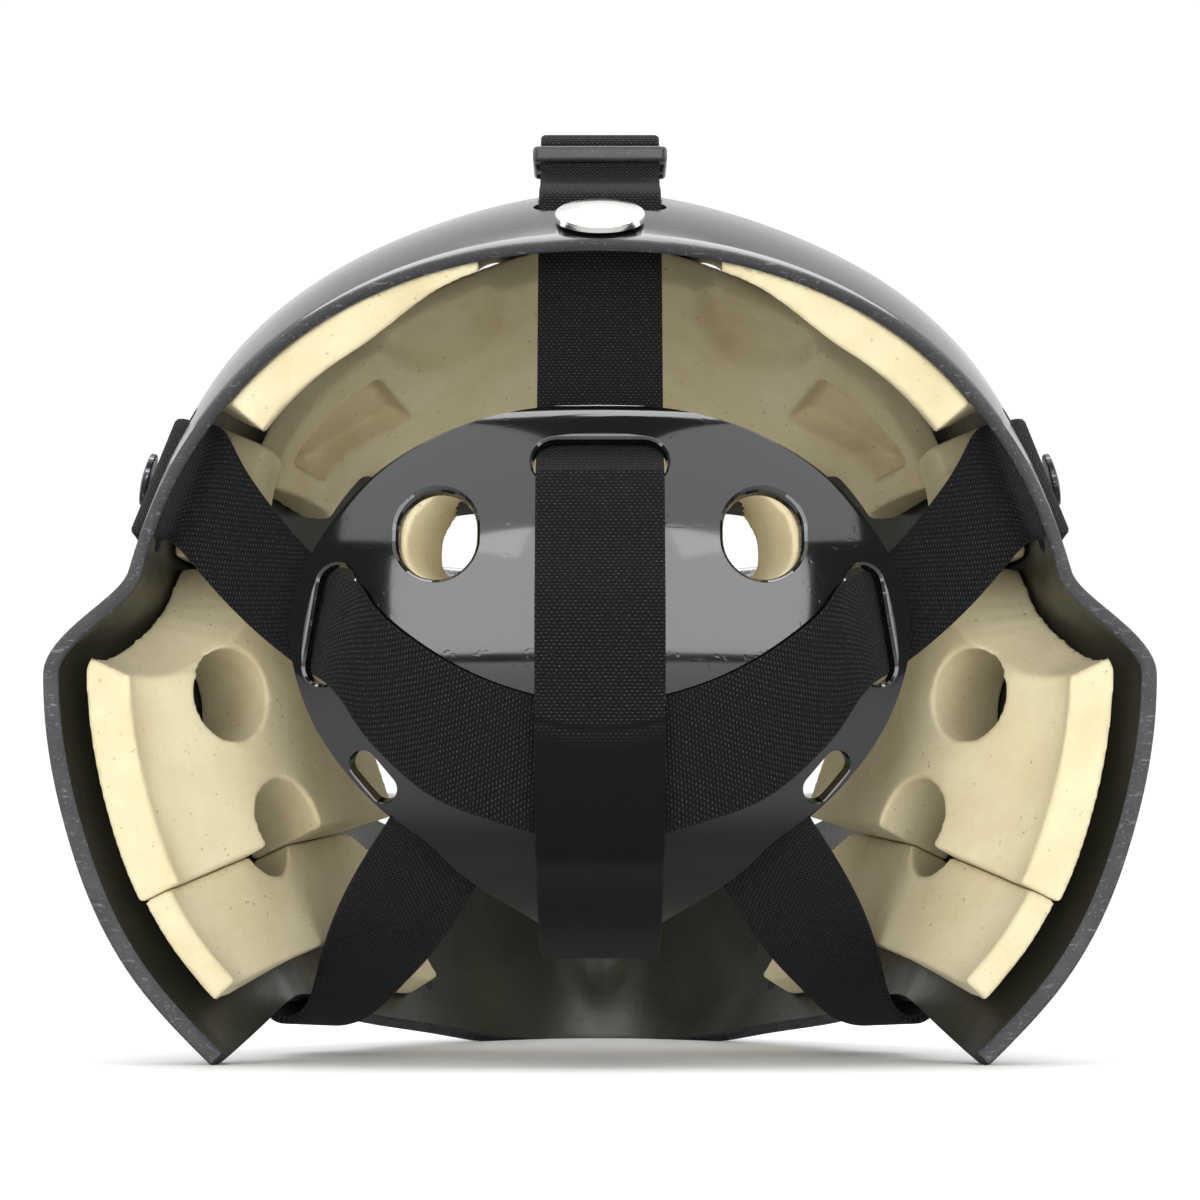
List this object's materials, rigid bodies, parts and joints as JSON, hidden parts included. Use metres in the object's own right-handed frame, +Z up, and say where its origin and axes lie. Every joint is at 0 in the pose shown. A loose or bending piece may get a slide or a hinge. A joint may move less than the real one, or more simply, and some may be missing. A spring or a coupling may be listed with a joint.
{
  "type": "goalie helmet",
  "caption": "Ice hockey goalie helmet: moulded shell with vents and a wire face cage, foam pads inside, and a back plate held by elastic straps.",
  "frame": {"origin": "on the floor, under the middle of the helmet's length and width", "axes": "+Z up, +Y the way the face looks, +X to the wearer's right"},
  "size_m": [0.2768, 0.2804, 0.2466],
  "materials": {
    "shell": "glossy black outside, bare olive-black resin inside",
    "foam": "matte cream closed-cell foam",
    "plate": "glossy black",
    "strap": "matte black knitted elastic",
    "plastic": "satin dark grey moulded plastic",
    "steel": "polished steel wire"
  },
  "bodies": {
    "root": {"shell": "shell", "forehead_pad": "foam", "crown_pad_right": "foam", "crown_pad_left": "foam", "temple_pad_right": "foam", "temple_pad_left": "foam", "cheek_pad_right": "foam", "cheek_pad_left": "foam", "jaw_pad_right": "foam", "jaw_pad_left": "foam", "back_plate": "plate", "back_plate_pad": "foam", "centre_strap": "strap", "side_strap_right": "strap", "side_strap_left": "strap", "lower_strap_right": "strap", "lower_strap_left": "strap", "strap_slider": "plastic", "strap_cap": "plastic", "side_strap_screw_right": "plastic", "side_strap_screw_left": "plastic", "lower_strap_screw_right": "plastic", "lower_strap_screw_left": "plastic", "cage_clip_crown_right": "steel", "cage_clip_crown_left": "steel", "cage_screw_crown_right": "steel", "cage_screw_crown_left": "steel", "cage_clip_cheek_right": "steel", "cage_clip_cheek_left": "steel", "cage_screw_cheek_right": "steel", "cage_screw_cheek_left": "steel", "cage_clip_chin_right": "steel", "cage_clip_chin_left": "steel", "cage_screw_chin_right": "steel", "cage_screw_chin_left": "steel", "cage": "steel"}
  },
  "joints": []
}
